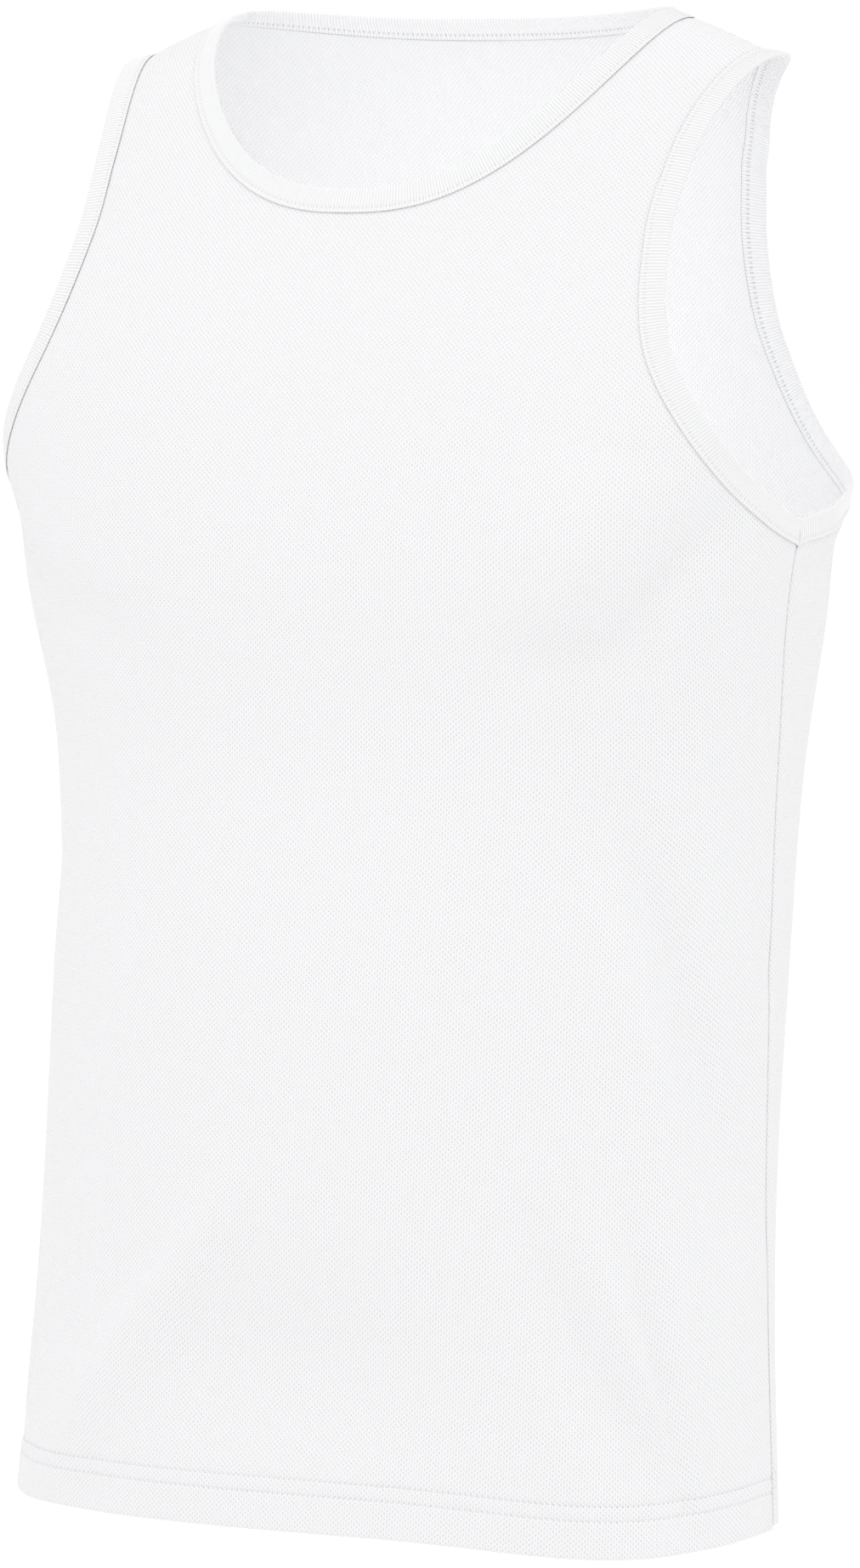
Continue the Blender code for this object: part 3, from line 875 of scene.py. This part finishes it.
def armhole_runs(side):
    lines = {face: armhole_line(face, side) for face in ARMHOLES}
    up_face, down_face = ("back", "front") if side > 0.0 else ("front", "back")
    return (
        seam_run("armhole", up_face, lines[up_face], side),
        backwards(seam_run("armhole", down_face, lines[down_face], side)),
    )


def softened(values, spread):
    """A ring of values averaged over a few neighbours on each side."""
    shifts = range(-spread, spread + 1)
    return sum(np.roll(values, shift, axis=0) for shift in shifts) / len(shifts)


Ring = namedtuple("Ring", "points normals away ahead flares along length")


def seam_ring(runs, step, whole=1):
    """Even places round a seam, about a step apart and in whole groups."""
    given = np.hstack([np.concatenate([part[:-1] for part in parts]) for parts in zip(*runs)])
    closed = np.vstack((given, given[:1]))
    along = run_length(closed[:, :3])
    count = max(1, round(along[-1] / step / whole)) * whole
    wanted = np.arange(count) / count * along[-1]
    even = np.stack([np.interp(wanted, along, values) for values in closed.T], -1)
    points, spread = even[:, :3], max(1, round(SEAM_EASE * count / along[-1]))
    normals = unit(softened(even[:, 3:6], spread))
    ahead = unit(softened(np.roll(points, -1, axis=0) - np.roll(points, 1, axis=0), spread))
    away = unit(np.cross(normals, ahead))
    return Ring(points, normals, away, ahead, even[:, 6], wanted, along[-1])


def off_seam(ring, away, height):
    """Points of a binding: away from its seam, and above its middle."""
    turn = (ring.flares[:, None] * ease(away / FLARE_REACH))[..., None]
    out, up = ring.away[:, None], ring.normals[:, None]
    along_band = out * np.cos(turn) + up * np.sin(turn)
    off_band = up * np.cos(turn) - out * np.sin(turn)
    return ring.points[:, None] + along_band * away[:, None] + off_band * height[..., None]


# A corner of a binding's section: away from the sewn edge, up off the seam, and its shares
# of the ribs' height, of the stitches' pull and of the shadow line painted along an edge
BandPoint = namedtuple("BandPoint", "away up ribbed stitched lined", defaults=(0.0,) * 3)


def band_section():
    """A binding's section: over the cloth, round the folded edge, and back under it."""
    top, bottom, layer = BAND_TOP, BAND_BOTTOM, BAND_LAYER
    bend = (top - bottom) / 2.0
    middle = (top + bottom) / 2.0
    fold = BAND_WIDTH - bend
    rows = [
        # painted shadow line under the folded edge on the outer face
        BandPoint(0.12 * MM, top - layer, lined=0.8),
        BandPoint(0.0, top - 0.55 * layer, lined=0.7),
        BandPoint(0.08 * MM, top - 0.2 * layer, 0.2),
        BandPoint(0.35 * MM, top, 0.3),
        BandPoint(0.9 * MM, top + 0.05 * MM, 0.4),
        BandPoint(1.6 * MM, top, 0.4, 0.1),
        BandPoint(2.1 * MM, top, 0.3, 0.6),
        BandPoint(BAND_STITCH_OUTSIDE, top, 0.2, 1.0),
        BandPoint(2.9 * MM, top, 0.4, 0.6),
        BandPoint(3.5 * MM, top, 0.8, 0.1),
    ]
    rows += [BandPoint(away * MM, top + 0.05 * MM, 1.0) for away in (4.5, 6.5, 8.5, 10.2)]
    for turn in np.linspace(80.0, -80.0, 7):
        place = radians(turn)
        rows.append(BandPoint(fold + bend * cos(place), middle + bend * sin(place), 0.75))
    rows += [BandPoint(away * MM, bottom - 0.05 * MM, 1.0) for away in (10.2, 8.0, 6.0, 4.6)]
    rows += [
        BandPoint(3.9 * MM, bottom, 0.6, 0.6),
        BandPoint(BAND_STITCH_INSIDE, bottom, 0.2, 1.0),
        BandPoint(2.9 * MM, bottom, 0.4, 0.6),
        BandPoint(2.0 * MM, bottom - 0.1 * MM, 0.5),
        # painted shadow line where the inner edge lifts off the cloth
        BandPoint(0.8 * MM, bottom - BAND_CURL, 0.4, lined=0.1),
        BandPoint(0.3 * MM, bottom - BAND_CURL, 0.2, lined=0.75),
        BandPoint(0.0, bottom - 0.5 * BAND_CURL, lined=0.75),
        BandPoint(0.0, bottom + 0.4 * layer, lined=0.75),
        BandPoint(1.2 * MM, bottom + 0.6 * layer),
        BandPoint(2.2 * MM, bottom + layer),
        BandPoint(fold, bottom + layer),
        BandPoint(fold, top - layer),
    ]
    return rows


# How dark the shadow line painted along a binding's edges is, and how far that comes and goes
# along them
EDGE_SHADOW_PAINT = (0.75, 0.25)
EDGE_WAVES = (31.0, 57.0)  # radians in a metre
STITCH_PULL = 0.20 * MM  # how far a stitch row pulls its binding in
NEEDLE_PULL = 0.25 * MM  # and how much further at the needle holes
HOLES_OUTSIDE = 0.3  # share of the needle holes that shows on a binding's outer face
HOLES_INSIDE = 0.75


def ring_faces(around, across):
    """Quads of a closed ring with a closed section."""
    number = np.arange(around * across).reshape(around, across)
    after, beside = np.roll(number, -1, axis=0), np.roll(number, -1, axis=1)
    return np.stack((number, after, np.roll(after, -1, axis=1), beside), -1).reshape(-1, 4)


def ring_map(ring, away, up):
    """Each quad corner's place on the flat strip: along the ring and round its section."""
    lengths = np.concatenate(((0.0,), np.cumsum(np.hypot(np.diff(away), np.diff(up)))))
    across = np.append(lengths, lengths[-1] + BAND_LAYER)
    along = np.append(ring.along, ring.length)
    low, high = np.arange(len(ring.along))[:, None], np.arange(len(away))[None, :]
    corners = [
        np.stack(np.broadcast_arrays(along[low + step], across[high + rise]), -1)
        for step, rise in ((0, 0), (1, 0), (1, 1), (0, 1))
    ]
    return np.stack(corners, 2).reshape(-1, 2)


def binding(name, runs, tree):
    """A closed ring of folded rib on the edge that the runs make."""
    ring = seam_ring(runs, RIB_PITCH / RIB_STEPS, RIB_STEPS)
    away, up, ribbed, stitched, lined = np.array(band_section()).T
    outside = up > (BAND_TOP + BAND_BOTTOM) / 2.0
    stitches = round(ring.length / BAND_STITCH)
    holes = 0.5 + 0.5 * np.cos(2.0 * pi * ring.along / ring.length * stitches)
    # needle holes, which pull the binding in and are given painted shade
    holes_and_painted_shade = stitched * holes[:, None] ** 4 * np.where(outside, HOLES_OUTSIDE, HOLES_INSIDE)
    pull = stitched * STITCH_PULL + holes_and_painted_shade * NEEDLE_PULL
    # the painted edge shadow comes and goes along the ring
    (base, change), (slow, quick) = EDGE_SHADOW_PAINT, EDGE_WAVES
    uneven = base + change * np.sin(ring.along * slow) * np.sin(ring.along * quick + 1.0)
    from_join = np.minimum(ring.along, ring.length - ring.along)
    depth, half_width = JOIN_DIP
    join = depth * np.exp(-((from_join / half_width) ** 2))[:, None] * (ribbed > 0.0)
    points = off_seam(ring, away, up + np.where(outside, -1.0, 1.0) * (pull + join))
    around, across = points.shape[:2]
    faces = ring_faces(around, across)
    mesh = mesh_of(name, points.reshape(-1, 3), faces, ring_map(ring, away, up))
    # the third value is the painted shade of the needle holes and edges, for the rib finish
    for label, values in (
        ("along", np.repeat(ring.along / ring.length * (around / RIB_STEPS) * RIB_PITCH, across)),
        ("ribbed", np.tile(ribbed, around)),
        ("holes_and_painted_shade", np.ravel(np.maximum(holes_and_painted_shade, lined * uneven[:, None]))),
    ):
        mesh.attributes.new(label, "FLOAT", "POINT").data.foreach_set("value", values)
    facing_out(mesh)
    piece = new_object(name, mesh)
    return run_tree(piece, tree, Pitch=RIB_PITCH, Depth=RIB_DEPTH, Finish=RIB)


def facing_out(mesh):
    ring = bmesh.new()
    ring.from_mesh(mesh)
    bmesh.ops.recalc_face_normals(ring, faces=ring.faces)
    ring.to_mesh(mesh)
    ring.free()


# ---------------- stitches

STITCH_STEP = 0.004  # radians from a hem stitch to the points that give its way


def stitch_row(name, places, tree, length, seed):
    """Stitches at places, each (points, ahead, normals), with their tops along the normals."""
    points, ahead, normals = (np.concatenate(part) for part in zip(*places))
    mesh = bpy.data.meshes.new(name)
    mesh.from_pydata(points.tolist(), [], [])
    for label, values in (("ahead", ahead), ("normal", normals)):
        layer = mesh.attributes.new(label, "FLOAT_VECTOR", "POINT")
        layer.data.foreach_set("vector", values.ravel())
    piece = new_object(name, mesh)
    sizes = {"Length": length, "Thread": THREAD, "Wander": STITCH_WANDER}
    return run_tree(piece, tree, **sizes, Seed=seed, Finish=THREAD_WHITE)


def band_stitches(name, runs, tree):
    """The two rows that hold a binding, one on each of its faces."""
    ring = seam_ring(runs, BAND_STITCH)
    places = []
    for reach, side in ((BAND_STITCH_OUTSIDE, 1.0), (BAND_STITCH_INSIDE, -1.0)):
        face = BAND_TOP if side > 0.0 else BAND_BOTTOM
        height = np.full((len(ring.points), 1), face - side * STITCH_PULL)
        points = off_seam(ring, np.array([reach]), height)[:, 0]
        middles = np.roll(points, -1, axis=0) * 0.5 + points * 0.5
        places.append((middles, ring.ahead, ring.normals * side))
    length = STITCH_SHARES["binding"] * BAND_STITCH
    return stitch_row(name, places, tree, length, STITCH_SEEDS["binding"])


def hem_line(face, up):
    """(points, ahead, normals) at even stitches along one row of a panel's hem."""
    angle = np.linspace(-pi / 2.0, pi / 2.0, CURVE_STEPS)
    line = cloth_point(face, angle, np.full(CURVE_STEPS, HEM + up))
    along = run_length(line)
    count = round(along[-1] / HEM_STITCH)
    wanted = (np.arange(count) + 0.5) / count * along[-1]
    at = np.interp(wanted, along, angle)
    rise = np.full(count, HEM + up)
    points, after, before = (
        cloth_point(face, at + step, rise) for step in (0.0, STITCH_STEP, -STITCH_STEP)
    )
    return points, unit(after - before), form_normal(face, at, rise)


# ---------------- stage

FOCUS = Vector((0.005, 0.0, -0.363))
CAMERA_TURN = 31.392  # degrees from the front to the garment's left
CAMERA_RISE = 3.701
CAMERA_DISTANCE = 4.559
LENS = 216.17
SENSOR = 36.0
SIGHT = 200.0  # how far the camera sees
FLOOR_RADIUS = 40.0
FLOOR_SIDES = 96
FLOOR_DROP = 0.35  # under the hem

Sun = namedtuple("Sun", "name turn height strength")
SUNS = (
    Sun("sky", 30.0, 72.0, 0.28),
    Sun("window on the left", 120.0, 8.0, 0.17),
    Sun("window on the right", -75.0, 8.0, 0.12),
)
SUN_SOFTNESS = 40.0
SheetOfLight = namedtuple("SheetOfLight", "name place aim size watts")
LAMPS = (
    SheetOfLight("lamp over the chest", (0.1, -0.9, 0.8), FOCUS, (0.6, 0.6), 0.70),
    SheetOfLight("lamp at the chest", (0.22, -0.55, -0.36), FOCUS, (0.3, 0.3), 0.05),
)
# Light that the white cloth lets through to its inside: which side it falls on, the place
# of its sheet, the way this shines, its width and height, and watts
GLOWS = tuple(
    SheetOfLight("glow on the " + name, place, Vector(place) + Vector(way), size, watts)
    for name, place, way, size, watts in (
        ("front", (0.0, 0.01, -0.50), (0.0, -1.0, 0.0), (0.24, 0.30), 0.265),
        ("back", (0.0, -0.05, -0.45), (0.0, 1.0, 0.0), (0.24, 0.30), 0.120),
        ("shoulder blades", (0.0, -0.05, -0.18), (0.0, 1.0, 0.0), (0.26, 0.16), 0.073),
        ("yoke", (0.0, -0.01, -0.075), (0.0, 1.0, 0.0), (0.24, 0.07), 0.015),
        ("left shoulder", (0.11, -0.01, -0.08), (0.0, 1.0, 0.0), (0.05, 0.08), 0.011),
        ("right shoulder", (-0.11, -0.01, -0.08), (0.0, 1.0, 0.0), (0.05, 0.08), 0.011),
        ("neck", (0.0, 0.01, -0.33), (0.0, 0.0, 1.0), (0.22, 0.12), 0.045),
    )
)


def direction(turn, height):
    """The way to a place at degrees round the garment (0 the front, + its left) and above it."""
    turn, height = radians(turn), radians(height)
    return Vector((sin(turn) * cos(height), -cos(turn) * cos(height), sin(height)))


def facing(way):
    """The turn of a camera or a light whose back points this way."""
    return way.to_track_quat("Z", "Y").to_euler()


def place_camera():
    data = bpy.data.cameras.new("camera")
    data.lens = LENS
    data.sensor_fit = "VERTICAL"
    data.sensor_height = SENSOR
    data.clip_end = SIGHT
    camera = new_object("camera", data)
    back = direction(CAMERA_TURN, CAMERA_RISE)
    camera.location = FOCUS + back * CAMERA_DISTANCE
    camera.rotation_euler = facing(back)
    bpy.context.scene.camera = camera


def soft_sun(name, turn, height, strength):
    data = bpy.data.lights.new(name, "SUN")
    data.energy = strength
    data.angle = radians(SUN_SOFTNESS)
    new_object(name, data).rotation_euler = facing(direction(turn, height))


def soft_light(name, place, aim, size, watts):
    """A dim sheet of light that the camera doesn't see."""
    data = bpy.data.lights.new(name, "AREA")
    data.shape = "RECTANGLE"
    data.size, data.size_y = size
    data.energy = watts
    light = new_object(name, data)
    light.location = place
    light.rotation_euler = facing(Vector(place) - Vector(aim))
    light.visible_camera = False


def lay_floor():
    sheet = bmesh.new()
    bmesh.ops.create_circle(sheet, cap_ends=True, segments=FLOOR_SIDES, radius=FLOOR_RADIUS)
    for vert in sheet.verts:
        vert.co.z = HEM - FLOOR_DROP
    mesh = bpy.data.meshes.new("floor")
    sheet.to_mesh(mesh)
    sheet.free()
    mesh.materials.append(floor_finish())
    new_object("floor", mesh)


def light_stage():
    world = bpy.data.worlds.new("white room")
    bpy.context.scene.world = world
    world.use_nodes = True
    sky = world.node_tree.nodes["Background"]
    sky.inputs["Color"].default_value = (1.0, 1.0, 1.0, 1.0)
    sky.inputs["Strength"].default_value = 1.0
    for light in SUNS:
        soft_sun(*light)
    for light in LAMPS + GLOWS:
        soft_light(*light)
    bpy.context.scene.view_settings.view_transform = "Standard"


# ---------------- making

KNIT = knit_finish()
RIB = rib_finish()
THREAD_WHITE = thread_finish()
ribs = rib_tree()
stitches = stitch_tree()

place_camera()
light_stage()
lay_floor()

for face in ("front", "back"):
    cloth = panel(face)
    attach(cloth, "root")
    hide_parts(face + "_panel")
    rows = [hem_line(face, up) for up in HEM_ROWS]
    length = STITCH_SHARES["hem"] * HEM_STITCH
    seams = stitch_row(face + "_hem_stitches", rows, stitches, length, STITCH_SEEDS["hem"])
    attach(seams, "root")

for name, runs in (
    ("neck_binding", neck_runs()),
    ("armhole_binding_left", armhole_runs(1.0)),
    ("armhole_binding_right", armhole_runs(-1.0)),
):
    strip = binding(name.replace("binding", "rib"), runs, ribs)
    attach(strip, "root")
    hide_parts(name)
    seams = band_stitches(name.replace("binding", "stitches"), runs, stitches)
    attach(seams, "root")
